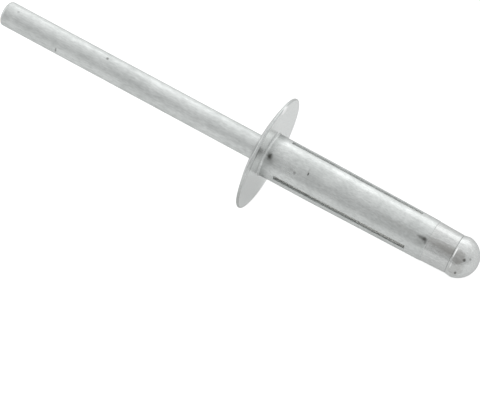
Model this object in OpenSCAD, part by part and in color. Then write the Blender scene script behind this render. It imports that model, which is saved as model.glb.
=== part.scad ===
// Blind rivet with a large domed flange and a slotted shank, as supplied.
// Two pieces make it: a shell, which is flange, slotted shank and swaged
// collar in one, and a mandrel, which runs through the shell and ends in a
// domed head. Sizes are in millimetres.
//
// Both pieces are turned about one axis. Along it, 0 is the seat, the flat
// face under the flange, and the domed head lies in the positive direction.
// lay_down() then lays the rivet on the floor, where it rests on the rim of
// its flange and on its domed head.

/* [Flange] */
// Diameter of the flange
flange_d = 12.7; // [9.5:0.1:16]
// Thickness of the flange at its rounded rim
rim_t = 0.3; // [0.2:0.02:0.5]
// Rise of the domed face above the rim
dome_rise = 1.05; // [0.5:0.05:1.5]
// Radius of the fillet between the seat and the shank
root_fillet = 0.25; // [0.1:0.05:0.4]

/* [Shank] */
// Diameter of the straight part of the shank
shank_d = 4.8; // [4.7:0.05:5.2]
// Length of the straight part, from the seat
straight_len = 6; // [3:0.5:9]
// Length of the whole shank, from the seat to the end of the collar
shank_len = 21.7; // [18:0.1:30]
// Diameter to which the legs draw in where the collar starts
legs_end_d = 4.54; // [4.4:0.02:4.6]

/* [Slots] */
// Number of slots, which is also the number of legs
slot_count = 3; // [2:1:4]
// Width of a slot
slot_w = 0.56; // [0.3:0.02:0.8]
// Distance from the seat to the slots
slot_start = 1.8; // [1:0.1:3]
// Length of unslotted wall between the slots and the collar
slot_land = 1.85; // [0.8:0.05:2.5]
// Direction of the first slot round the axis, from straight down
slot_turn = -87.75; // [-180:0.25:180]
// Diameter of the round grooves that run down the bore to the slots
groove_d = 0.5; // [0.3:0.05:0.6]

/* [Collar] */
// Length of the swaged collar
collar_len = 2.85; // [2:0.05:4]
// Depth of the step at which the swaging starts
swage_step = 0.035; // [0.02:0.005:0.06]
// Diameter of the collar at its end
collar_end_d = 4.32; // [4.1:0.02:4.4]
// Bevel on the end of the collar
collar_bevel = 0.08; // [0.04:0.02:0.16]

/* [Mandrel] */
// Diameter of the mandrel
stem_d = 2.74; // [2.5:0.02:2.9]
// Length of the mandrel, from the seat to its cut end
stem_len = 32.1; // [25:0.1:45]
// Bevel on the cut end
stem_bevel = 0.26; // [0.1:0.02:0.5]
// Diameter of the neck at which the mandrel breaks
neck_d = 1.9; // [1.4:0.05:2.2]
// Length of the neck, with its sloping shoulders
neck_len = 1.6; // [1.2:0.1:2]

/* [Head] */
// Diameter of the domed head
head_d = 4.56; // [4.44:0.02:4.9]
// Diameter of the head where it sits on the collar
head_base_d = 4.34; // [4.1:0.02:4.4]
// Height of the conical base of the head
head_base_h = 0.65; // [0.4:0.05:0.8]
// Bevel on the edge of the base
head_bevel = 0.07; // [0.04:0.01:0.14]

/* [Fits] */
// Gap all round between the mandrel and the bore
bore_gap = 0.1; // [0.05:0.01:0.14]
// Gap all round between the mandrel and the swaged collar
collar_gap = 0.02; // [0.01:0.005:0.04]

/* [Hidden] */
$fn = 96;

aluminium = [0.80, 0.81, 0.81];
bright_aluminium = [0.84, 0.85, 0.85];

// How far a cut runs past the surface that it opens, and how far two shapes
// that are joined reach into each other
overrun = 1;
overlap = 0.02;

// The flange: its rim is rounded with rim_r, and its face is part of a ball.
// Near the rim the ball runs blend_depth inside the rounding, deepest at
// blend_r from the axis, so the two surfaces cross on a clean edge.
flange_r = flange_d / 2;
rim_r = rim_t / 2;
rim_core_r = flange_r - rim_r;
flange_h = rim_t + dome_rise;
blend_depth = 0.002;
inset = rim_r - blend_depth;
core_rise = flange_h - rim_r;
face_r = (rim_core_r ^ 2 + core_rise ^ 2 - inset ^ 2) / (2 * (core_rise - inset));
face_centre_z = face_r - flange_h;
blend_r = rim_core_r * face_r / (face_r - inset);

// The mandrel, and the bore that takes it
stem_r = stem_d / 2;
bore_r = stem_r + bore_gap;
collar_bore_r = stem_r + collar_gap;
mouth_z = face_centre_z - sqrt(face_r ^ 2 - bore_r ^ 2);
mouth_bevel = 0.08;

// The shank: legs, the land that joins them again, and the collar
shank_r = shank_d / 2;
legs_end_r = legs_end_d / 2;
swage_z = shank_len - collar_len;
swage_run = 0.12;
swage_r = legs_end_r - swage_step;
collar_end_r = collar_end_d / 2;
slot_end = swage_z - slot_land;
groove_r = bore_r + groove_d / 3;

// The neck lies under the ends of the slots, where the shell folds
neck_r = neck_d / 2;
neck_shoulder = stem_r - neck_r;
neck_end = slot_end + neck_len / 5;
neck_start = neck_end - neck_len;

// The head: a ball on a short cone. The cone widens by head_flare for each
// unit of its height, and the ball's centre is placed so that the two meet
// head_base_h above the collar.
head_r = head_d / 2;
head_base_r = head_base_d / 2;
cone_top_z = shank_len + head_base_h;
cone_top_r = (head_r + head_base_r + head_bevel) / 2;
head_flare = (cone_top_r - head_base_r) / (head_base_h - head_bevel);
ball_z = cone_top_z - sqrt(head_r ^ 2 - cone_top_r ^ 2);
head_top_z = ball_z + head_r;

// At rest the axis slopes down to the head by lie_tilt, so that the rim of
// the flange and the ball of the head touch the floor together.
ball_reach = ball_z + rim_r;
lie_span = sqrt(rim_core_r ^ 2 + ball_reach ^ 2);
lie_tilt = acos((head_r - rim_r) / lie_span) - atan2(ball_reach, rim_core_r);
seat_h = ball_z * sin(lie_tilt) + head_r;
front_x = ball_z * cos(lie_tilt) + head_r;
back_x = stem_len * cos(lie_tilt) + (stem_r - stem_bevel) * sin(lie_tilt);
seat_x = (back_x - front_x) / 2;

// Lays a piece that stands on the axis down on the floor, with the middle of
// the rivet's length and width over the origin.
module lay_down() {
    translate([seat_x, 0, seat_h])
        rotate([0, 90 + lie_tilt, 0])
            children();
}

// The flange: a slice of the face's ball, down to the middle of the rim, a
// disc from there to the seat, and the rounded rim round both
module flange() {
    intersection() {
        translate([0, 0, face_centre_z]) sphere(r = face_r);
        translate([0, 0, -flange_h - overrun]) cylinder(r = blend_r, h = flange_h + overrun - rim_r);
    }
    translate([0, 0, -rim_r - overlap]) cylinder(r = rim_core_r, h = rim_r + overlap);
    rotate_extrude() translate([rim_core_r, -rim_r]) circle(r = rim_r);
}

// Half section of the shank and its collar, solid to the axis
module shank_section() {
    polygon([
        [0, -rim_t],
        [shank_r, -rim_t],
        [shank_r, straight_len],
        [legs_end_r, swage_z],
        [swage_r, swage_z + swage_run],
        [collar_end_r, shank_len - collar_bevel],
        [collar_end_r - collar_bevel, shank_len],
        [0, shank_len]
    ]);
}

// Half section of the fillet that joins the shank to the seat
module root_section() {
    difference() {
        translate([shank_r - rim_r, -rim_r]) square(root_fillet + rim_r);
        translate([shank_r + root_fillet, root_fillet]) circle(r = root_fillet);
    }
}

// Half section of the bore: open at the domed face, closed on the mandrel
// by the swaging
module bore_section() {
    polygon([
        [0, mouth_z - overrun],
        [bore_r + mouth_bevel + overrun, mouth_z - overrun],
        [bore_r, mouth_z + mouth_bevel],
        [bore_r, swage_z],
        [collar_bore_r, swage_z + bore_gap],
        [collar_bore_r, shank_len + overrun],
        [0, shank_len + overrun]
    ]);
}

// One slot through the wall, with the round groove that runs from the mouth
// of the bore down to it
module slot_cut() {
    translate([0, -slot_w / 2, slot_start])
        cube([shank_r + overrun, slot_w, slot_end - slot_start]);
    translate([groove_r, 0, mouth_z - overrun])
        cylinder(d = groove_d, h = slot_start - mouth_z + overrun + groove_d);
}

// Flange, slotted shank and collar, cold-formed in one piece
module shell() {
    color(aluminium)
        lay_down()
            rotate(slot_turn)
                difference() {
                    union() {
                        flange();
                        rotate_extrude() shank_section();
                        rotate_extrude() root_section();
                    }
                    rotate_extrude() bore_section();
                    for (i = [0 : slot_count - 1])
                        rotate(i * 360 / slot_count)
                            slot_cut();
                }
}

// Half section of the mandrel's stem, up to the underside of its head
module stem_section() {
    polygon([
        [0, -stem_len],
        [stem_r - stem_bevel, -stem_len],
        [stem_r, -stem_len + stem_bevel],
        [stem_r, neck_start],
        [neck_r, neck_start + neck_shoulder],
        [neck_r, neck_end - neck_shoulder],
        [stem_r, neck_end],
        [stem_r, shank_len + head_base_h / 2],
        [0, shank_len + head_base_h / 2]
    ]);
}

// Half section of the head: a ball, cut off flat where it sits on the collar
// and trimmed by a cone that widens from there to meet the ball
module head_section() {
    intersection() {
        translate([0, ball_z]) circle(r = head_r);
        polygon([
            [0, shank_len],
            [head_base_r - head_bevel, shank_len],
            [head_base_r, shank_len + head_bevel],
            [head_base_r + head_flare * (head_r - head_bevel), shank_len + head_r],
            [head_base_r + head_flare * (head_r - head_bevel), head_top_z + overrun],
            [0, head_top_z + overrun]
        ]);
    }
}

// Stem, break neck and domed head, drawn and headed in one piece
module mandrel() {
    color(bright_aluminium)
        lay_down()
            rotate_extrude() {
                stem_section();
                head_section();
            }
}

shell();
mandrel();
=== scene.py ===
"""The looks of a blind rivet: its shell and its mandrel, their finishes, and the studio.

Sizes are in millimetres, and angles in degrees. Both pieces are modelled upright on the
rivet's own axis, where 0 is the seat, the flat face under the flange, and the domed head
lies in the positive direction. Each finished piece is laid down on the floor, in metres.
"""

import logging
import math
from dataclasses import dataclass, field
from enum import Enum
from typing import Callable

import bmesh
import bpy
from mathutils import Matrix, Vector

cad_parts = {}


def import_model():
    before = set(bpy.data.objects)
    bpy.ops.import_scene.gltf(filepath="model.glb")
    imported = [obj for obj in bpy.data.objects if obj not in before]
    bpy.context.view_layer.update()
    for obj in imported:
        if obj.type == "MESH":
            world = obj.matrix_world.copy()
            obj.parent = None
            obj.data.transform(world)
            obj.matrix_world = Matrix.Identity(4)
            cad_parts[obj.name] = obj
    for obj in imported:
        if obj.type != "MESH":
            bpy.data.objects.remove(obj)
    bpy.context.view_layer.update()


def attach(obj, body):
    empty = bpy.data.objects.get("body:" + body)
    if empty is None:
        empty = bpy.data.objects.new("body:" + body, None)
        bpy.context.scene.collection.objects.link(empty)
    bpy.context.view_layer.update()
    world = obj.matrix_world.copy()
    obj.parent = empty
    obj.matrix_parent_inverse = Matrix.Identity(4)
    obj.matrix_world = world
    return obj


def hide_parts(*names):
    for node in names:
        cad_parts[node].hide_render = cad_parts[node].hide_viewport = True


log = logging.getLogger("rivet")

# Metres in a millimetre
MM = 0.001
# Points that lie closer together than this are merged
MERGE = 0.0002
# Places of the colour sockets of a Mix node, which share their names with other sockets
MIX_A, MIX_B, MIX_RESULT = 6, 7, 2
WHITE = (1.0, 1.0, 1.0, 1.0)

Point = tuple[float, float]
Colour = tuple[float, float, float]
Object = bpy.types.Object
Node = bpy.types.Node
Tree = bpy.types.NodeTree
Socket = bpy.types.NodeSocket
Input = Socket | Vector | tuple[float, ...] | float
Ends = tuple[Socket | float, Socket | float]


class Slot(Enum):
    """Names for the material slots of the two pieces, which the script only logs."""

    SHELL = "shell_aluminium"
    MANDREL = "mandrel_aluminium"


class Element(Enum):
    """What a selection in edit mode is made of."""

    EDGE = "EDGE"
    FACE = "FACE"


class Kind(Enum):
    """The kinds of value that a shader group takes and gives."""

    NUMBER = "NodeSocketFloat"
    VECTOR = "NodeSocketVector"


class Ease(Enum):
    """How a value goes from one end of a range to the other."""

    EVEN = "LINEAR"
    SOFT = "SMOOTHSTEP"


@dataclass(frozen=True)
class RivetSizes:
    """The sizes that the shell and the mandrel share."""

    flange_d: float = 12.7
    rim_t: float = 0.3
    dome_rise: float = 1.05
    shank_d: float = 4.8
    shank_len: float = 21.7
    collar_len: float = 2.85
    slot_w: float = 0.56
    slot_start: float = 1.8
    slot_land: float = 1.85
    slot_turn: float = -87.75
    slot_count: int = 3
    stem_d: float = 2.74
    stem_len: float = 32.1
    stem_bevel: float = 0.26
    head_d: float = 4.56
    head_base_d: float = 4.34
    head_base_h: float = 0.65
    head_bevel: float = 0.07
    bore_gap: float = 0.1
    collar_gap: float = 0.02

    @property
    def rim_r(self) -> float:
        """Radius of the rounded rim of the flange."""
        return self.rim_t / 2

    @property
    def rim_core_r(self) -> float:
        """Distance from the axis to the middle of the rim's rounding."""
        return self.flange_d / 2 - self.rim_r

    @property
    def bore_r(self) -> float:
        """Radius of the bore."""
        return self.stem_d / 2 + self.bore_gap

    @property
    def swage_z(self) -> float:
        """Where the swaged collar starts."""
        return self.shank_len - self.collar_len

    @property
    def slot_end(self) -> float:
        """Where the slots end, short of the collar."""
        return self.swage_z - self.slot_land

    @property
    def cone_top_z(self) -> float:
        """Where the conical base of the head meets its ball."""
        return self.shank_len + self.head_base_h

    @property
    def cone_top_r(self) -> float:
        """Radius at which the conical base of the head meets its ball."""
        return (self.head_d / 2 + self.head_base_d / 2 + self.head_bevel) / 2

    @property
    def ball_z(self) -> float:
        """Centre of the ball of the head."""
        return self.cone_top_z - math.sqrt((self.head_d / 2) ** 2 - self.cone_top_r**2)


@dataclass(frozen=True)
class Lie:
    """How the rivet lies: on the rim of its flange and on the ball of its head."""

    sizes: RivetSizes

    @property
    def tilt(self) -> float:
        """Works out how the rivet leans.

        Returns:
            Slope of the axis down to the head.
        """
        reach = self.sizes.ball_z + self.sizes.rim_r
        span = math.hypot(self.sizes.rim_core_r, reach)
        drop = self.sizes.head_d / 2 - self.sizes.rim_r
        return math.degrees(math.acos(drop / span) - math.atan2(reach, self.sizes.rim_core_r))

    @property
    def turn(self) -> tuple[float, float, float]:
        """Rotation that lays an upright piece down, in radians."""
        return (0.0, math.radians(90 + self.tilt), 0.0)

    @property
    def seat(self) -> Vector:
        """Works out where the seat lies, with the rivet's middle over the origin.

        Returns:
            Centre of the seat above the floor.
        """
        sizes, tilt = self.sizes, math.radians(self.tilt)
        head_r = sizes.head_d / 2
        end_r = sizes.stem_d / 2 - sizes.stem_bevel
        front = sizes.ball_z * math.cos(tilt) + head_r
        back = sizes.stem_len * math.cos(tilt) + end_r * math.sin(tilt)
        return Vector(((back - front) / 2, 0.0, sizes.ball_z * math.sin(tilt) + head_r))

    def lay_down(self, piece: Object) -> None:
        """Lays an upright piece in millimetres down on the floor, in metres.

        Args:
            piece: The finished piece, with its object at the origin.
        """
        activate(piece)
        piece.rotation_euler = self.turn
        piece.location = self.seat * MM
        piece.scale = (MM, MM, MM)
        bpy.ops.object.transform_apply(location=True, rotation=True, scale=True)


def activate(piece: Object) -> None:
    """Selects one object alone and makes it the active one.

    Args:
        piece: The object.
    """
    bpy.ops.object.select_all(action="DESELECT")
    piece.select_set(True)
    bpy.context.view_layer.objects.active = piece


def place(radius: float, height: float, angle: float = 0.0) -> Vector:
    """Returns the point at a radius, a height along the axis and an angle round it."""
    turn = math.radians(angle)
    return Vector((radius * math.cos(turn), radius * math.sin(turn), height))


def arc(centre: Point, radius: float, start: float, end: float, steps: int) -> list[Point]:
    """Draws an arc in a section, ends included.

    Args:
        centre: Distance of the arc's centre from the axis, and its height.
        radius: Radius of the arc.
        start: Angle of the first point, from straight outwards.
        end: Angle of the last point.
        steps: Number of chords.

    Returns:
        One (radius, height) point more than there are chords.
    """
    turns = [math.radians(start + (end - start) * i / steps) for i in range(steps + 1)]
    return [(centre[0] + radius * math.cos(t), centre[1] + radius * math.sin(t)) for t in turns]


def pick(piece: Object, element: Element, wanted: Callable[..., bool]) -> None:
    """Selects the edges or faces of a piece in edit mode that a test picks out.

    Args:
        piece: The piece that is being edited.
        element: Whether edges or faces are picked.
        wanted: The test, which takes an edge or a face.
    """
    bpy.ops.mesh.select_mode(type=element.value)
    bpy.ops.mesh.select_all(action="DESELECT")
    mesh = bmesh.from_edit_mesh(piece.data)
    for item in mesh.edges if element is Element.EDGE else mesh.faces:
        if wanted(item):
            item.select_set(True)
    bmesh.update_edit_mesh(piece.data)


def trace(name: str, section: list[Point], angle: float) -> Object:
    """Draws a half section from point to point and leaves it open in edit mode.

    Args:
        name: Name of the new piece.
        section: The section's (radius, height) points in order.
        angle: Angle round the axis at which the section stands.

    Returns:
        The new piece, whose only edges are the section's.
    """
    bpy.ops.object.select_all(action="DESELECT")
    bpy.ops.mesh.primitive_plane_add(size=1.0, location=(0.0, 0.0, 0.0), enter_editmode=True)
    piece = bpy.context.object
    piece.name = name
    bpy.ops.mesh.select_mode(type="VERT")
    bpy.ops.mesh.select_all(action="SELECT")
    bpy.ops.mesh.merge(type="CENTER")
    here = place(*section[0], angle)
    bpy.ops.transform.translate(value=here)
    for point in section[1:]:
        there = place(*point, angle)
        bpy.ops.mesh.extrude_vertices_move(TRANSFORM_OT_translate={"value": there - here})
        here = there
    bpy.ops.mesh.select_all(action="SELECT")
    bpy.ops.mesh.remove_doubles(threshold=MERGE)
    bpy.ops.mesh.select_all(action="SELECT")
    return piece


def spin(steps: int, angle: float) -> None:
    """Turns the selected section on round the axis, anticlockwise.

    Args:
        steps: Number of steps.
        angle: Angle that they take up together.
    """
    bpy.ops.mesh.spin(
        steps=steps,
        angle=math.radians(angle),
        center=(0.0, 0.0, 0.0),
        axis=(0.0, 0.0, -1.0),
        use_auto_merge=False,
    )


def close_up() -> None:
    """Merges the seam and the poles of a turned piece and points its faces outwards."""
    bpy.ops.mesh.select_all(action="SELECT")
    bpy.ops.mesh.remove_doubles(threshold=MERGE)
    bpy.ops.mesh.select_all(action="SELECT")
    bpy.ops.mesh.normals_make_consistent(inside=False)
    bpy.ops.mesh.select_all(action="DESELECT")


def carve(piece: Object, cutter: Object) -> None:
    """Cuts one object out of a piece and deletes the cutter.

    Args:
        piece: The piece that is cut, in object mode.
        cutter: The closed mesh that is taken away from it.
    """
    activate(piece)
    cut = piece.modifiers.new("cut", "BOOLEAN")
    cut.operation = "DIFFERENCE"
    cut.solver = "EXACT"
    cut.object = cutter
    bpy.ops.object.modifier_apply(modifier=cut.name)
    bpy.data.objects.remove(cutter)


def fill(tree: Tree, node: Node, inputs: dict[str | int, Input]) -> None:
    """Fills the inputs of a node.

    Args:
        tree: The node tree that holds it.
        node: The node.
        inputs: For each input, by name or place, the socket that feeds it or its value.
    """
    for name, value in inputs.items():
        if isinstance(value, Socket):
            tree.links.new(value, node.inputs[name])
        else:
            node.inputs[name].default_value = value


def add_node(
    tree: Tree, kind: str, inputs: dict[str | int, Input], **options: str | Tree
) -> Node:
    """Adds a shader node.

    Args:
        tree: The node tree that gets it.
        kind: Its type, without the word that all their types start with.
        inputs: As in fill().
        **options: Its own settings, such as its operation.

    Returns:
        The new node.
    """
    node = tree.nodes.new(f"ShaderNode{kind}")
    for name, choice in options.items():
        setattr(node, name, choice)
    fill(tree, node, inputs)
    return node


def calculate(tree: Tree, operation: str, *values: Input) -> Socket:
    """Returns the result of an operation on numbers."""
    return add_node(tree, "Math", dict(enumerate(values)), operation=operation).outputs["Value"]


def on_vectors(tree: Tree, operation: str, *values: Input) -> Node:
    """Returns the node of an operation on vectors."""
    return add_node(tree, "VectorMath", dict(enumerate(values)), operation=operation)


def spread(
    tree: Tree, value: Socket, given: Ends, wanted: Ends = (0.0, 1.0), ease: Ease = Ease.EVEN
) -> Socket:
    """Stretches a value from one range to another, and no further.

    Args:
        tree: The node tree.
        value: The value.
        given: The ends of the range that it comes from.
        wanted: What those ends become.
        ease: How it goes from one to the other.

    Returns:
        The new value.
    """
    low, high = given
    first, last = wanted
    inputs = {"Value": value, "From Min": low, "From Max": high, "To Min": first, "To Max": last}
    return add_node(tree, "MapRange", inputs, interpolation_type=ease.value).outputs["Result"]


class ShaderGroups:
    """The node groups that the finishes share, each built once.

    The raggedness is how far a noise, which is noise_middle on average, moves a mark's edge.
    """

    noise_middle: float = 0.5
    raggedness: float = 0.5

    def __init__(self) -> None:
        """Builds every group."""
        self.grain = self._grain()
        self.smudge = self._smudge()
        self.mark = self._mark()
        self.zone = self._zone()

    @staticmethod
    def _start(
        name: str, inputs: dict[str, Kind], result: str
    ) -> tuple[Tree, dict[str, Socket], Socket]:
        """Starts a group whose first input is the place on the rivet.

        Args:
            name: Name of the group.
            inputs: The kind of each input that follows the place.
            result: Name of the number that the group puts out.

        Returns:
            The group, its inputs by name, and the socket that takes its result.
        """
        tree = bpy.data.node_groups.new(name, "ShaderNodeTree")
        kinds = {"Vector": Kind.VECTOR, **inputs}
        for label, kind in kinds.items():
            tree.interface.new_socket(name=label, in_out="INPUT", socket_type=kind.value)
        tree.interface.new_socket(name=result, in_out="OUTPUT", socket_type=Kind.NUMBER.value)
        given = tree.nodes.new("NodeGroupInput")
        wanted = tree.nodes.new("NodeGroupOutput")
        return tree, {label: given.outputs[label] for label in kinds}, wanted.inputs[result]

    def _grain(self) -> Tree:
        """Builds fine lines that run along the axis, as drawing leaves them.

        Returns:
            The group.
        """
        tree, given, lines = self._start(
            "drawn grain", {"Fineness": Kind.NUMBER, "Stretch": Kind.NUMBER}, "Lines"
        )
        shape = add_node(tree, "CombineXYZ", {"X": 1.0, "Y": 1.0, "Z": given["Stretch"]})
        stretched = on_vectors(tree, "MULTIPLY", given["Vector"], shape.outputs["Vector"])
        inputs = {"Vector": stretched.outputs["Vector"], "Scale": given["Fineness"]}
        noise = add_node(tree, "TexNoise", {**inputs, "Detail": 4.0, "Roughness": 0.6})
        tree.links.new(noise.outputs["Fac"], lines)
        return tree

    def _smudge(self) -> Tree:
        """Builds soft irregular clouds, as handling and oil leave them.

        Returns:
            The group.
        """
        kinds = {"Scale": Kind.NUMBER, "Low": Kind.NUMBER, "High": Kind.NUMBER}
        tree, given, mask = self._start("soft smudges", kinds, "Mask")
        inputs = {"Vector": given["Vector"], "Scale": given["Scale"], "Detail": 3.0}
        noise = add_node(tree, "TexNoise", {**inputs, "Roughness": 0.55, "Distortion": 0.4})
        ends = (given["Low"], given["High"])
        tree.links.new(spread(tree, noise.outputs["Fac"], ends, ease=Ease.SOFT), mask)
        return tree

    def _mark(self) -> Tree:
        """Builds one mark with a soft, slightly ragged edge, at a place on the piece.

        Its place and its reach are radial, round the axis and along the axis.

        Returns:
            The group.
        """
        kinds = {"Around": Kind.NUMBER, "Place": Kind.VECTOR, "Reach": Kind.VECTOR}
        tree, given, mask = self._start("single mark", {**kinds, "Core": Kind.NUMBER}, "Mask")
        back = calculate(tree, "MULTIPLY", given["Around"], -1.0)
        inputs = {"Vector": given["Vector"], "Angle": back}
        turned = add_node(tree, "VectorRotate", inputs, rotation_type="Z_AXIS")
        offset = on_vectors(tree, "SUBTRACT", turned.outputs["Vector"], given["Place"])
        share = on_vectors(tree, "DIVIDE", offset.outputs["Vector"], given["Reach"])
        length = on_vectors(tree, "LENGTH", share.outputs["Vector"]).outputs["Value"]
        inputs = {"Vector": given["Vector"], "Scale": 4.0, "Detail": 2.0}
        noise = add_node(tree, "TexNoise", inputs).outputs["Fac"]
        uneven = calculate(tree, "SUBTRACT", noise, self.noise_middle)
        ragged = calculate(tree, "MULTIPLY_ADD", uneven, self.raggedness, length)
        fade = spread(tree, ragged, (given["Core"], 1.0), (1.0, 0.0), Ease.SOFT)
        tree.links.new(fade, mask)
        return tree

    def _zone(self) -> Tree:
        """Builds a mask of the surface within a radius of the axis and between two heights.

        Returns:
            The group.
        """
        kinds = {"Radius": Kind.NUMBER, "Start": Kind.NUMBER, "End": Kind.NUMBER}
        tree, given, mask = self._start("zone", kinds, "Mask")
        level = on_vectors(tree, "MULTIPLY", given["Vector"], (1.0, 1.0, 0.0))
        distance = on_vectors(tree, "LENGTH", level.outputs["Vector"])
        height = add_node(tree, "SeparateXYZ", {"Vector": given["Vector"]}).outputs["Z"]
        near = calculate(tree, "LESS_THAN", distance.outputs["Value"], given["Radius"])
        above = calculate(tree, "GREATER_THAN", height, given["Start"])
        below = calculate(tree, "LESS_THAN", height, given["End"])
        between = calculate(tree, "MULTIPLY", above, below)
        tree.links.new(calculate(tree, "MULTIPLY", near, between), mask)
        return tree


@dataclass(frozen=True)
class Surface:
    """A material while it is built: its nodes, places on the rivet's axis, shared groups."""

    tree: Tree
    where: Socket
    groups: ShaderGroups

    def effect(self, group: Tree, inputs: dict[str, Input]) -> Socket:
        """Returns what a shared group puts out, with the given values."""
        node = add_node(self.tree, "Group", {"Vector": self.where, **inputs}, node_tree=group)
        return node.outputs[0]

    def fit(self, value: Socket, wanted: Point, given: Point = (0.0, 1.0)) -> Socket:
        """Stretches a value from one range to another, and no further."""
        return spread(self.tree, value, given, wanted)

    def blend(self, mask: Socket, first: Socket | Colour, second: Colour) -> Socket:
        """Goes from one colour to another with a mask.

        Args:
            mask: 0 for the first colour, 1 for the second.
            first: The first colour.
            second: The second colour.

        Returns:
            The blended colour.
        """
        low = (*first, 1.0) if isinstance(first, tuple) else first
        inputs = {0: mask, MIX_A: low, MIX_B: (*second, 1.0)}
        return add_node(self.tree, "Mix", inputs, data_type="RGBA").outputs[MIX_RESULT]


@dataclass(frozen=True)
class Mark:
    """A mark on the surface, placed along the axis, round it and away from it.

    Its reach is radial, round the axis and along it, and its core is the share of that reach
    at which it starts to fade.
    """

    along: float
    around: float
    radius: float
    reach: tuple[float, float, float]
    depth: float
    core: float = 0.3
    colour: Colour = (0.05, 0.05, 0.045)


@dataclass(frozen=True)
class Zone:
    """The surface within a radius and between two heights, with a finish of its own."""

    radius: float
    start: float
    end: float
    colour: Colour
    roughness: float


@dataclass(frozen=True)
class Aluminium:
    """Bare aluminium with drawn grain, soft smudges, zones of their own and marks, painted shade
    and painted highlights among them.

    The echo is the colour towards which the metal goes where one part of it shows in
    another, so that it isn't darkened twice.
    """

    name: str
    bright: Colour
    dull: Colour
    roughness: Point
    grain_fineness: float
    grain_stretch: float
    grain_height: float
    grain_tone: Point
    smudge_scale: float
    zones: tuple[Zone, ...]
    marks: tuple[Mark, ...]
    grain_range: Point = (0.3, 0.7)
    smudge_range: Point = (0.35, 0.7)
    edge_tint: float = 0.72
    echo: Colour = (0.84, 0.85, 0.845)
    echo_share: float = 0.8

    def build(self, groups: ShaderGroups, lie: Lie) -> bpy.types.Material:
        """Builds the material.

        Args:
            groups: The shared node groups.
            lie: How the rivet lies, which turns the pattern with it.

        Returns:
            The material, ready to be put on a piece.
        """
        material = bpy.data.materials.new(self.name)
        material.use_nodes = True
        tree = material.node_tree
        surface = Surface(tree, self._axis_coordinates(tree, lie), groups)
        grain = {"Fineness": self.grain_fineness, "Stretch": self.grain_stretch}
        lines = surface.effect(groups.grain, grain)
        low, high = self.smudge_range
        smudge = {"Scale": self.smudge_scale, "Low": low, "High": high}
        clouds = surface.effect(groups.smudge, smudge)
        rough = surface.fit(clouds, self.roughness)
        colour = surface.blend(clouds, self.bright, self.dull)
        for zone in self.zones:
            colour, rough = self._add_zone(surface, (colour, rough), zone)
        colour = self._add_echo(surface, self._add_tone(surface, lines, colour))
        for mark in self.marks:
            colour = self._add_mark(surface, colour, mark)
        relief = {"Strength": 1.0, "Distance": self.grain_height * MM, "Height": lines}
        bump = add_node(tree, "Bump", relief)
        finish = {
            "Metallic": 1.0,
            "Specular Tint": (*[self.edge_tint] * 3, 1.0),
            "Base Color": colour,
            "Roughness": rough,
            "Normal": bump.outputs["Normal"],
        }
        fill(tree, tree.nodes["Principled BSDF"], finish)
        return material

    @staticmethod
    def _axis_coordinates(tree: Tree, lie: Lie) -> Socket:
        """Turns the piece's own coordinates back onto the rivet's axis.

        Args:
            tree: The material's node tree.
            lie: How the rivet lies.

        Returns:
            Millimetres along and across the axis, from the seat.
        """
        inputs = {
            "Vector": add_node(tree, "TexCoord", {}).outputs["Object"],
            "Location": lie.seat * MM,
            "Rotation": lie.turn,
            "Scale": (MM, MM, MM),
        }
        return add_node(tree, "Mapping", inputs, vector_type="TEXTURE").outputs["Vector"]

    def _add_tone(self, surface: Surface, lines: Socket, colour: Socket) -> Socket:
        """Returns a colour, lightened and darkened along the lines of the grain."""
        inputs = {0: colour, "Scale": surface.fit(lines, self.grain_tone, self.grain_range)}
        return add_node(surface.tree, "VectorMath", inputs, operation="SCALE").outputs["Vector"]

    def _add_echo(self, surface: Surface, colour: Socket) -> Socket:
        """Returns a colour, lightened where one part of the metal shows in another."""
        glossy = add_node(surface.tree, "LightPath", {}).outputs["Is Glossy Ray"]
        return surface.blend(surface.fit(glossy, (0.0, self.echo_share)), colour, self.echo)

    @staticmethod
    def _add_zone(
        surface: Surface, finish: tuple[Socket, Socket], zone: Zone
    ) -> tuple[Socket, Socket]:
        """Lays one zone over the finish.

        Args:
            surface: The material.
            finish: The colour and the roughness so far.
            zone: The zone.

        Returns:
            The new colour and roughness.
        """
        extent = {"Radius": zone.radius, "Start": zone.start, "End": zone.end}
        mask = surface.effect(surface.groups.zone, extent)
        rough = {"Factor": mask, "A": finish[1], "B": zone.roughness}
        mixed = add_node(surface.tree, "Mix", rough).outputs["Result"]
        return surface.blend(mask, finish[0], zone.colour), mixed

    @staticmethod
    def _add_mark(surface: Surface, colour: Socket, mark: Mark) -> Socket:
        """Lays one mark over the colour.

        Args:
            surface: The material.
            colour: The colour so far.
            mark: The mark.

        Returns:
            The new colour.
        """
        values = {
            "Around": math.radians(mark.around),
            "Place": (mark.radius, 0.0, mark.along),
            "Reach": mark.reach,
            "Core": mark.core,
        }
        mask = surface.effect(surface.groups.mark, values)
        return surface.blend(surface.fit(mask, (0.0, mark.depth)), colour, mark.colour)


CLEAN = (0.78, 0.78, 0.76)
SEAT = (0.65, 0.67, 0.662)
COLLAR = (0.44, 0.45, 0.445)
HEAD = (0.485, 0.497, 0.492)
# Warm dark colour for painted shade and painted dark reflections
WARM_PAINTED_SHADE = (0.13, 0.12, 0.105)
# Near-white colour for painted highlights on the rim and on the edge of the head's base
PAINTED_HIGHLIGHT = (0.90, 0.91, 0.905)

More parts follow.
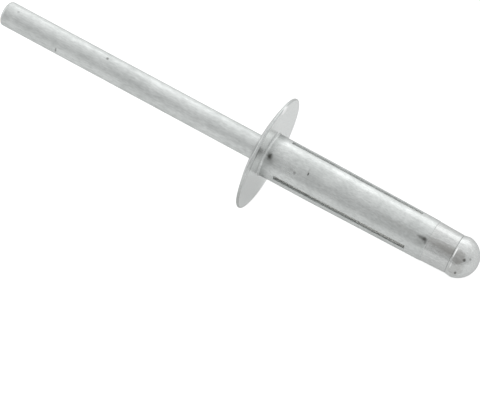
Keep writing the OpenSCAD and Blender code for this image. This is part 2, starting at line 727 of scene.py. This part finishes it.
SHELL_FINISH = Aluminium(
    name="shell aluminium",
    bright=(0.478, 0.494, 0.488),
    dull=(0.430, 0.446, 0.440),
    roughness=(0.27, 0.34),
    grain_fineness=6.5,
    grain_stretch=0.35,
    grain_height=0.003,
    grain_tone=(0.86, 1.14),
    smudge_scale=0.35,
    # The bore, the seat and the collar
    zones=(
        Zone(2.1, 0.6, 17.6, CLEAN, 0.75),
        Zone(6.2, -0.08, 0.03, SEAT, 0.27),
        Zone(2.4, 18.91, 22.0, COLLAR, 0.22),
    ),
    # On the shank, before and on the collar, on the seat and at the rim, with painted shade and
    # painted highlights among them
    marks=(
        Mark(0.62, -138.0, 2.42, (0.5, 0.54, 0.42), 0.90, core=0.1),
        Mark(0.85, -131.0, 2.42, (0.6, 0.75, 0.65), 0.35, core=0.0),
        Mark(3.68, -130.2, 2.40, (0.3, 0.28, 0.26), 0.42, core=0.0),
        Mark(3.10, -133.0, 2.40, (0.3, 0.40, 0.50), 0.14, core=0.0),
        Mark(4.99, -143.5, 2.40, (0.3, 0.26, 0.11), 0.90),
        Mark(4.90, -151.5, 2.40, (0.3, 0.46, 0.12), 0.22, core=0.1),
        # A dark smudge on the land before the collar, darkest in its middle, with a faint darkening
        # beside it
        Mark(18.25, -139.0, 2.28, (0.5, 0.26, 0.80), 0.62, core=0.2),
        Mark(18.56, -137.5, 2.28, (0.5, 0.34, 0.38), 0.72, core=0.2),
        Mark(18.72, -131.0, 2.28, (0.5, 0.30, 0.22), 0.45, core=0.2),
        Mark(18.20, -126.0, 2.28, (0.6, 0.75, 1.00), 0.20, core=0.0),
        # Painted dark reflections: warm bands along the collar and the end of the shank, on the
        # side facing the dim part of the room
        Mark(21.5, -146.0, 2.22, (0.9, 0.46, 3.6), 0.16, core=0.8, colour=WARM_PAINTED_SHADE),
        Mark(21.3, -140.0, 2.22, (0.9, 0.80, 3.2), 0.34, core=0.2, colour=WARM_PAINTED_SHADE),
        Mark(15.5, -139.5, 2.30, (0.9, 0.45, 4.2), 0.14, core=0.0, colour=WARM_PAINTED_SHADE),
        # Painted shade: a dark strip on the seat just inside the rim
        Mark(0.0, -135.0, 5.62, (0.25, 1.50, 0.2), 0.88, core=0.2),
        Mark(0.0, -121.0, 5.66, (0.24, 1.30, 0.2), 0.66, core=0.1),
        Mark(0.0, -107.0, 5.74, (0.24, 1.60, 0.2), 0.34, core=0.1),
        # Painted shade: a broad soft darkening of the seat's lower part, which reflects the
        # shadowed floor
        Mark(0.0, -53.0, 5.60, (4.6, 8.0, 0.6), 0.22, core=0.6),
        # Painted highlight on the upper rim, where the rim catches the lamp
        Mark(0.0, 167.6, 5.95, (0.50, 0.95, 0.2), 0.95, core=0.5, colour=PAINTED_HIGHLIGHT),
    ),
)

MANDREL_FINISH = Aluminium(
    name="mandrel aluminium",
    bright=(0.53, 0.547, 0.541),
    dull=(0.485, 0.502, 0.496),
    roughness=(0.45, 0.53),
    grain_fineness=7.0,
    grain_stretch=0.22,
    grain_height=0.003,
    grain_tone=(0.87, 1.13),
    smudge_scale=0.5,
    # The stem inside the shell, and the head
    zones=(
        Zone(1.5, 0.6, 17.6, CLEAN, 0.6),
        Zone(2.4, 21.72, 25.2, HEAD, 0.27),
    ),
    # On the stem, on the head and at the edge of its base, painted shade and painted highlights
    # among them
    marks=(
        Mark(-30.5, -170.1, 1.37, (0.3, 0.20, 0.20), 0.30),
        Mark(-25.08, -94.1, 1.37, (0.4, 0.44, 0.15), 0.55, core=0.2),
        Mark(-19.64, -176.2, 1.37, (0.3, 0.22, 0.22), 0.60),
        Mark(23.02, -138.6, 2.06, (0.3, 0.22, 0.22), 0.85),
        Mark(22.76, -91.6, 2.17, (0.3, 0.30, 0.17), 0.80),
        Mark(23.49, -149.5, 1.76, (0.3, 0.16, 0.16), 0.40),
        # Painted shade on the head: a dark reflection band, and its side towards the floor in front
        # darkened where it reflects the shadowed floor
        Mark(22.35, -139.0, 2.20, (0.7, 0.85, 0.85), 0.36, core=0.65, colour=WARM_PAINTED_SHADE),
        Mark(22.6, -105.0, 2.20, (0.7, 1.6, 1.1), 0.24, core=0.4, colour=WARM_PAINTED_SHADE),
        # Painted highlights along the edge of the head's base, where it catches the left lamp
        Mark(21.88, -145.0, 2.18, (0.3, 0.90, 0.10), 0.90, colour=PAINTED_HIGHLIGHT),
        Mark(22.03, -110.0, 2.20, (0.3, 0.55, 0.10), 0.30, colour=PAINTED_HIGHLIGHT),
    ),
)


@dataclass
class Piece:
    """A piece of the rivet: its sizes, how it lies, and what it stands for and wears.

    The support is the distance from an edge to the ring of points that keeps it crisp.
    """

    sizes: RivetSizes
    lie: Lie
    name: str
    node: str
    slot: Slot
    finish: Aluminium
    support: float = 0.06
    sharp_angle: float = 32.0

    def settle(self, body: Object) -> None:
        """Shades a piece smooth, apart from its sharp edges, and lays it down.

        Args:
            body: The modelled piece, upright and in object mode.
        """
        activate(body)
        bpy.ops.object.shade_smooth_by_angle(angle=math.radians(self.sharp_angle))
        self.lie.lay_down(body)

    def dress(self, body: Object, groups: ShaderGroups) -> None:
        """Gives a finished piece its material and its place in the frame.

        Args:
            body: The finished piece, laid down.
            groups: The shared node groups.
        """
        body.data.materials.clear()
        body.data.materials.append(self.finish.build(groups, self.lie))
        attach(body, "root")
        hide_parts(self.node)


@dataclass
class Shell(Piece):
    """The flange, the slotted shank and the swaged collar, formed as one piece."""

    name: str = "shell_body"
    node: str = "shell"
    slot: Slot = Slot.SHELL
    finish: Aluminium = SHELL_FINISH
    root_fillet: float = 0.25
    straight_len: float = 6.0
    legs_end_r: float = 2.27
    swage_step: float = 0.035
    swage_run: float = 0.12
    ring_depth: float = 0.02
    collar_end_r: float = 2.16
    collar_bevel: float = 0.08
    collar_taper: float = 0.002
    mouth_bevel: float = 0.08
    groove_d: float = 0.5
    edge_break: float = 0.03
    edge_strip: float = 0.05
    face_steps: int = 30
    rim_steps: int = 18
    fillet_steps: int = 10
    bevel_steps: int = 6
    break_steps: int = 2
    taper_steps: int = 4
    slot_steps: int = 8
    extra_steps: int = 3
    leg_steps: int = 62
    cutter_sides: int = 40
    cutter_overrun: float = 1.0
    corner_angle: float = 60.0
    slack: float = 0.01
    level_slack: float = 0.001

    @property
    def shank_r(self) -> float:
        """Radius of the straight part of the shank."""
        return self.sizes.shank_d / 2

    @property
    def slot_half_outside(self) -> float:
        """Half of the angle that a slot takes up on the outside of the shank."""
        return math.degrees(math.asin(self.sizes.slot_w / 2 / self.shank_r))

    @property
    def slot_half_inside(self) -> float:
        """Half of the angle that a slot takes up in the bore."""
        return math.degrees(math.asin(self.sizes.slot_w / 2 / self.sizes.bore_r))

    @property
    def slot_angles(self) -> list[float]:
        """The directions of the slots round the axis."""
        pitch = 360 / self.sizes.slot_count
        return [self.sizes.slot_turn + i * pitch for i in range(self.sizes.slot_count)]

    @property
    def face_r(self) -> float:
        """Works out the ball that the face of the flange is part of.

        Returns:
            Radius of the ball.
        """
        rise = self.sizes.dome_rise + self.sizes.rim_r
        core, rim = self.sizes.rim_core_r, self.sizes.rim_r
        return (core**2 + rise**2 - rim**2) / (2 * (rise - rim))

    @property
    def face_centre_z(self) -> float:
        """Centre of that ball on the axis."""
        return self.face_r - self.sizes.rim_t - self.sizes.dome_rise

    def face_z(self, radius: float) -> float:
        """Returns the height of the domed face at a distance from the axis."""
        return self.face_centre_z - math.sqrt(self.face_r**2 - radius**2)

    def outside_r(self, height: float) -> float:
        """Returns the radius of the legs at a height: they taper past the straight part."""
        share = max(0.0, (height - self.straight_len) / (self.sizes.swage_z - self.straight_len))
        return self.shank_r + (self.legs_end_r - self.shank_r) * share

    def leg_stations(self) -> list[float]:
        """Chooses where the legs have a ring of points.

        Returns:
            The heights of the rings, in order.
        """
        start, end, near = self.sizes.slot_start, self.sizes.slot_end, self.support
        straight, steps = self.straight_len, self.taper_steps
        between = [straight + (end - straight) * i / steps for i in range(1, steps)]
        return [start, start + near, (start + straight) / 2, straight, *between, end - near, end]

    def flange_section(self) -> list[Point]:
        """Draws the section from the mouth of the bore over the face and rim to the seat.

        Returns:
            Its (radius, height) points in order.
        """
        sizes, near, steps = self.sizes, self.support, self.face_steps
        lip = sizes.bore_r + self.mouth_bevel
        meet_r = sizes.rim_core_r * self.face_r / (self.face_r - sizes.rim_r)
        radii = [lip + (meet_r - lip) * i / steps for i in range(steps)]
        slope = math.degrees(math.asin(meet_r / self.face_r))
        core = (sizes.rim_core_r, -sizes.rim_r)
        rim = arc(core, sizes.rim_r, slope - 90, 90, self.rim_steps)
        seat_end = self.shank_r + self.root_fillet
        seat = [(sizes.rim_core_r - near, 0.0), (seat_end + near, 0.0)]
        return [(r, self.face_z(r)) for r in radii] + rim + seat

    def shank_section(self) -> list[Point]:
        """Draws the section from the fillet along the legs and the collar to its end.

        Returns:
            Its (radius, height) points in order.
        """
        sizes, near = self.sizes, self.support
        close = near / 4
        centre = (self.shank_r + self.root_fillet, self.root_fillet)
        fillet = arc(centre, self.root_fillet, 270, 180, self.fillet_steps)
        heights = [
            self.root_fillet + near,
            sizes.slot_start - near,
            *self.leg_stations(),
            sizes.slot_end + near,
            sizes.swage_z - near,
            sizes.swage_z - close,
        ]
        legs = [(self.outside_r(height), height) for height in heights]
        swage_r = self.legs_end_r - self.swage_step
        ring_z = sizes.swage_z + self.swage_run / 2
        ring = [
            (self.legs_end_r - self.swage_step / 3, sizes.swage_z + close),
            (swage_r - self.ring_depth, ring_z),
            (swage_r, ring_z + self.swage_run / 2),
            (swage_r - self.swage_step / 8, ring_z + self.swage_run),
        ]
        bevel_z = sizes.shank_len - self.collar_bevel
        taper = [(self.collar_end_r + self.collar_taper, bevel_z - near)]
        corner = (self.collar_end_r - self.collar_bevel, bevel_z)
        end = arc(corner, self.collar_bevel, 0, 90, self.bevel_steps)
        return fillet + legs + ring + taper + end

    def bore_section(self) -> list[Point]:
        """Draws the section from the end of the collar back through the bore.

        Returns:
            Its (radius, height) points in order.
        """
        sizes = self.sizes
        collar_r = sizes.stem_d / 2 + sizes.collar_gap
        lip = sizes.bore_r + self.mouth_bevel
        legs = [(sizes.bore_r, height) for height in reversed(self.leg_stations())]
        return [
            (collar_r, sizes.shank_len),
            (collar_r, sizes.swage_z + sizes.bore_gap),
            (sizes.bore_r, sizes.swage_z),
            *legs,
            (sizes.bore_r, self.face_z(lip) + self.mouth_bevel),
        ]

    def turn_body(self) -> Object:
        """Turns the closed section round the axis, with columns at the edges of the slots.

        Returns:
            The body, in edit mode.
        """
        section = self.flange_section() + self.shank_section() + self.bore_section()
        outside, inside = self.slot_half_outside, self.slot_half_inside
        strip = math.degrees(self.edge_strip / self.shank_r)
        pitch = 360 / self.sizes.slot_count
        first = self.sizes.slot_turn - outside
        body = trace(self.name, [*section, section[0]], first)
        for _ in range(self.sizes.slot_count):
            spin(self.slot_steps, 2 * outside)
            spin(1, strip)
            spin(self.extra_steps, inside - outside - strip)
            spin(self.leg_steps, pitch - 2 * inside)
            spin(self.extra_steps, inside - outside - strip)
            spin(1, strip)
        close_up()
        return body

    def _is_outside(self, point: Vector) -> bool:
        """Tells whether a point is on the outside of the shank, not in the bore."""
        return math.hypot(point.x, point.y) > (self.shank_r + self.sizes.bore_r) / 2

    def _slot_half(self, point: Vector) -> float:
        """Returns half of a slot's angle on the side of the wall that a point is on."""
        return self.slot_half_outside if self._is_outside(point) else self.slot_half_inside

    def _round_from_slot(self, point: Vector, slot: float) -> float:
        """Returns the angle of a point round the axis, counted from a slot."""
        angle = math.degrees(math.atan2(point.y, point.x))
        return (angle - slot + 180) % 360 - 180

    def _in_length(self, point: Vector) -> bool:
        """Tells whether a point lies within the length of the slots, ends included."""
        start, end = self.sizes.slot_start - self.slack, self.sizes.slot_end + self.slack
        return start < point.z < end

    def _in_slot(self, point: Vector, slot: float) -> bool:
        """Tells whether a point lies within a slot's angle and length, edges included."""
        close = abs(self._round_from_slot(point, slot)) < self._slot_half(point) + self.slack
        return close and self._in_length(point)

    def _is_side(self, edge: bmesh.types.BMEdge, slot: float, side: int) -> bool:
        """Tells whether an open edge runs along one side of a slot, which is -1 or 1."""
        off = [self._round_from_slot(v.co, slot) - side * self._slot_half(v.co) for v in edge.verts]
        return edge.is_boundary and max(map(abs, off)) < self.slack

    def _is_end(self, edge: bmesh.types.BMEdge, height: float) -> bool:
        """Tells whether an open edge runs across an end of a slot.

        Args:
            edge: The edge.
            height: Height of that end.

        Returns:
            Whether it does.
        """
        first, second = (vert.co for vert in edge.verts)
        one_side = self._is_outside(first) == self._is_outside(second)
        off = abs(first.z - height) + abs(second.z - height)
        return edge.is_boundary and one_side and off < self.level_slack

    def _is_slot_edge(self, edge: bmesh.types.BMEdge) -> bool:
        """Tells whether an edge is one of the outer edges of a slot."""
        sharp = edge.is_manifold and math.degrees(edge.calc_face_angle()) >= self.corner_angle
        return sharp and all(self._is_outside(v.co) and self._in_length(v.co) for v in edge.verts)

    def _open_slot(self, body: Object, slot: float) -> None:
        """Deletes the wall inside one slot and bridges its four sides.

        Args:
            body: The turned body, in edit mode.
            slot: Direction of the slot round the axis.
        """
        pick(body, Element.FACE, lambda face: all(self._in_slot(v.co, slot) for v in face.verts))
        bpy.ops.mesh.delete(type="FACE")
        for side in (-1, 1):
            pick(body, Element.EDGE, lambda edge: self._is_side(edge, slot, side))
            bpy.ops.mesh.bridge_edge_loops()
        for height in (self.sizes.slot_start, self.sizes.slot_end):
            pick(body, Element.EDGE, lambda edge: self._is_end(edge, height))
            bpy.ops.mesh.bridge_edge_loops()

    def open_slots(self, body: Object) -> None:
        """Opens each slot through the wall and gives it its walls and broken edges.

        Args:
            body: The turned body, in edit mode.
        """
        for slot in self.slot_angles:
            self._open_slot(body, slot)
        pick(body, Element.EDGE, self._is_slot_edge)
        bpy.ops.mesh.bevel(offset=self.edge_break, segments=self.break_steps, affect="EDGES")

    def groove_cutter(self, slot: float) -> Object:
        """Makes the round bar that cuts the groove from the mouth of the bore to a slot.

        Args:
            slot: Direction of the slot round the axis.

        Returns:
            The bar.
        """
        low = self.face_z(self.sizes.bore_r) - self.cutter_overrun
        high = self.sizes.slot_start + self.groove_d
        bar_r = self.sizes.bore_r + self.groove_d / 3
        bpy.ops.object.select_all(action="DESELECT")
        bpy.ops.mesh.primitive_cylinder_add(
            vertices=self.cutter_sides,
            radius=self.groove_d / 2,
            depth=high - low,
            location=place(bar_r, (low + high) / 2, slot),
        )
        return bpy.context.object

    def build(self) -> Object:
        """Models the shell.

        Returns:
            The finished shell, laid down.
        """
        body = self.turn_body()
        self.open_slots(body)
        bpy.ops.object.mode_set(mode="OBJECT")
        for slot in self.slot_angles:
            carve(body, self.groove_cutter(slot))
        self.settle(body)
        return body


@dataclass
class Mandrel(Piece):
    """The stem, its break neck and its domed head, drawn and headed as one piece.

    The bevel on the cut end bulges: it passes through a point at shares of its width and its
    height. The first ring on the head's cone is at a share of its widening and at a height.
    """

    name: str = "mandrel_body"
    node: str = "mandrel"
    slot: Slot = Slot.MANDREL
    finish: Aluminium = MANDREL_FINISH
    neck_d: float = 1.9
    neck_len: float = 1.6
    bevel_corner: float = 0.012
    bevel_bulge: Point = (0.55, 0.42)
    cone_start: Point = (0.1, 0.04)
    base_edge_end: float = -15.0
    base_edge_steps: int = 5
    ball_steps: int = 26
    stem_rings: int = 12
    columns: int = 160

    def stem_section(self) -> list[Point]:
        """Draws the section from the cut end along the stem and its neck to the head.

        Returns:
            Its (radius, height) points in order.
        """
        sizes, near, corner = self.sizes, self.support, self.bevel_corner
        radius, neck_r = sizes.stem_d / 2, self.neck_d / 2
        low, bevel = -sizes.stem_len, sizes.stem_bevel
        flat_r = radius - bevel
        first = low + bevel + near
        end = [
            (0.0, low),
            (flat_r / 2, low),
            (flat_r - near / 2, low),
            (flat_r, low + corner),
            (flat_r + bevel * self.bevel_bulge[0], low + bevel * self.bevel_bulge[1]),
            (radius - corner, low + bevel),
            (radius, first),
        ]
        shoulder = radius - neck_r
        neck_end = sizes.slot_end + self.neck_len / 5
        neck_start = neck_end - self.neck_len
        pitch = (neck_start - near - first) / self.stem_rings
        rings = [(radius, first + pitch * (i + 1)) for i in range(self.stem_rings)]
        neck = [
            (radius, neck_start),
            (neck_r, neck_start + shoulder),
            (neck_r, neck_end - shoulder),
            (radius, neck_end),
            (radius, neck_end + near),
            (radius, sizes.shank_len),
        ]
        return end + rings + neck

    def head_section(self) -> list[Point]:
        """Draws the section of the conical base and the ball, up to the pole.

        Returns:
            Its (radius, height) points in order.
        """
        sizes = self.sizes
        base_r, bevel = sizes.head_base_d / 2, sizes.head_bevel
        base_z = sizes.shank_len + bevel
        corner = (base_r - bevel, base_z)
        edge = arc(corner, bevel, -90, self.base_edge_end, self.base_edge_steps)
        rise = sizes.cone_top_z - sizes.ball_z
        start = math.degrees(math.asin(rise / (sizes.head_d / 2)))
        ball = arc((0.0, sizes.ball_z), sizes.head_d / 2, start, 90, self.ball_steps)
        ball[-1] = (0.0, ball[-1][1])
        rings = (self.cone_start, (0.5, (sizes.head_base_h - bevel) / 2))
        widening = sizes.cone_top_r - base_r
        cone = [(base_r + widening * share, base_z + height) for share, height in rings]
        return edge + cone + ball

    def build(self) -> Object:
        """Models the mandrel.

        Returns:
            The finished mandrel, laid down.
        """
        body = trace(self.name, self.stem_section() + self.head_section(), 0.0)
        spin(self.columns, 360.0)
        close_up()
        bpy.ops.object.mode_set(mode="OBJECT")
        self.settle(body)
        return body


def direction(azimuth: float, elevation: float) -> Vector:
    """Points in a direction.

    Args:
        azimuth: Angle from +X, over the floor.
        elevation: Angle above the floor.

    Returns:
        The unit vector.
    """
    turn, rise = math.radians(azimuth), math.radians(elevation)
    level = math.cos(rise)
    return Vector((level * math.cos(turn), level * math.sin(turn), math.sin(rise)))


def background_rays(tree: Tree) -> Socket:
    """Picks out camera, glossy and transmission rays, which see the white background.

    Args:
        tree: The node tree that asks.

    Returns:
        1 for those rays, and 0 for all others.
    """
    path = add_node(tree, "LightPath", {}).outputs
    reflected = calculate(tree, "MAXIMUM", path["Is Glossy Ray"], path["Is Transmission Ray"])
    return calculate(tree, "MAXIMUM", path["Is Camera Ray"], reflected)


@dataclass(frozen=True)
class Softbox:
    """A rectangular lamp that looks at the rivet from a direction, with sizes in metres."""

    name: str
    azimuth: float
    elevation: float
    distance: float
    width: float
    height: float
    radiance: float

    def light(self, target: Vector) -> None:
        """Adds the lamp.

        Args:
            target: The point that the lamp looks at.
        """
        lamp = bpy.data.lights.new(self.name, "AREA")
        lamp.shape = "RECTANGLE"
        lamp.size = self.width
        lamp.size_y = self.height
        lamp.energy = self.radiance * math.pi * self.width * self.height
        holder = bpy.data.objects.new(self.name, lamp)
        away = direction(self.azimuth, self.elevation)
        holder.location = target + away * self.distance
        holder.rotation_euler = away.to_track_quat("Z", "Y").to_euler()
        bpy.context.scene.collection.objects.link(holder)


@dataclass
class Studio:
    """The floor, the lamps, the world and the camera, with distances in metres."""

    camera_azimuth: float = -61.26
    camera_elevation: float = 47.6
    camera_distance: float = 0.2366
    lens: float = 172.5
    sensor_width: float = 36.0
    clip_start: float = 0.01
    aim: Vector = field(default_factory=lambda: Vector((0.003143, -0.004850, 0.002636)))
    floor_size: float = 1.6
    floor_albedo: float = 0.85
    floor_lift: float = 0.70
    room_level: float = 0.5
    dim_level: float = 0.87
    bright_level: float = 1.50
    bright_side: Point = (90.0, 38.0)
    fade_from: float = -0.1
    lamps: tuple[Softbox, ...] = (
        Softbox("softbox_back", 90.0, 38.0, 0.55, 0.62, 0.30, 0.60),
        Softbox("softbox_left", 180.0, 14.0, 0.50, 0.30, 0.20, 1.4),
    )

    def build(self) -> None:
        """Sets up the whole studio."""
        self.place_camera()
        self.lay_floor()
        self.light_room()
        for lamp in self.lamps:
            lamp.light(self.aim)
        bpy.context.scene.view_settings.view_transform = "Standard"

    def place_camera(self) -> None:
        """Places the camera at the photograph's viewing angle and distance."""
        camera = bpy.data.objects.new("camera", bpy.data.cameras.new("camera"))
        camera.data.lens = self.lens
        camera.data.sensor_width = self.sensor_width
        camera.data.clip_start = self.clip_start
        away = direction(self.camera_azimuth, self.camera_elevation)
        camera.location = self.aim + away * self.camera_distance
        camera.rotation_euler = away.to_track_quat("Z", "Y").to_euler()
        bpy.context.scene.collection.objects.link(camera)
        bpy.context.scene.camera = camera

    def lay_floor(self) -> None:
        """Lays the pale floor, which is the white background and keeps the shadow."""
        bpy.ops.object.select_all(action="DESELECT")
        bpy.ops.mesh.primitive_plane_add(size=self.floor_size, location=(0.0, 0.0, 0.0))
        floor = bpy.context.object
        floor.name = "floor"
        material = bpy.data.materials.new("floor")
        material.use_nodes = True
        tree = material.node_tree
        level = self.floor_albedo
        lift = calculate(tree, "MULTIPLY", background_rays(tree), self.floor_lift)
        finish = {
            "Base Color": (level, level, level, 1.0),
            "Roughness": 1.0,
            "Specular IOR Level": 0.0,
            "Emission Color": WHITE,
            "Emission Strength": lift,
        }
        fill(tree, tree.nodes["Principled BSDF"], finish)
        floor.data.materials.append(material)

    def light_room(self) -> None:
        """Makes the world: an even room, which reflections see brighter behind the rivet."""
        world = bpy.data.worlds.new("room")
        world.use_nodes = True
        bpy.context.scene.world = world
        tree = world.node_tree
        tree.nodes.clear()
        even = add_node(tree, "Background", {"Color": WHITE, "Strength": self.room_level})
        outwards = add_node(tree, "TexCoord", {}).outputs["Generated"]
        facing = on_vectors(tree, "DOT_PRODUCT", outwards, direction(*self.bright_side))
        levels = (self.dim_level, self.bright_level)
        fade = spread(tree, facing.outputs["Value"], (self.fade_from, 1.0), levels)
        seen = add_node(tree, "Background", {"Color": WHITE, "Strength": fade})
        rooms = {1: even.outputs["Background"], 2: seen.outputs["Background"]}
        mix = add_node(tree, "MixShader", {"Fac": background_rays(tree), **rooms})
        add_node(tree, "OutputWorld", {"Surface": mix.outputs["Shader"]})


def main() -> None:
    """Builds the studio, then each piece in order."""
    logging.basicConfig(level=logging.INFO, format="%(name)s: %(message)s")
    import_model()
    sizes = RivetSizes()
    lie = Lie(sizes)
    groups = ShaderGroups()
    Studio().build()
    for piece in (Shell(sizes, lie), Mandrel(sizes, lie)):
        body = piece.build()
        piece.dress(body, groups)
        faces = len(body.data.polygons)
        log.info("%s: %d faces, for %s in %s", body.name, faces, piece.node, piece.slot.value)


if __name__ == "__main__":
    main()
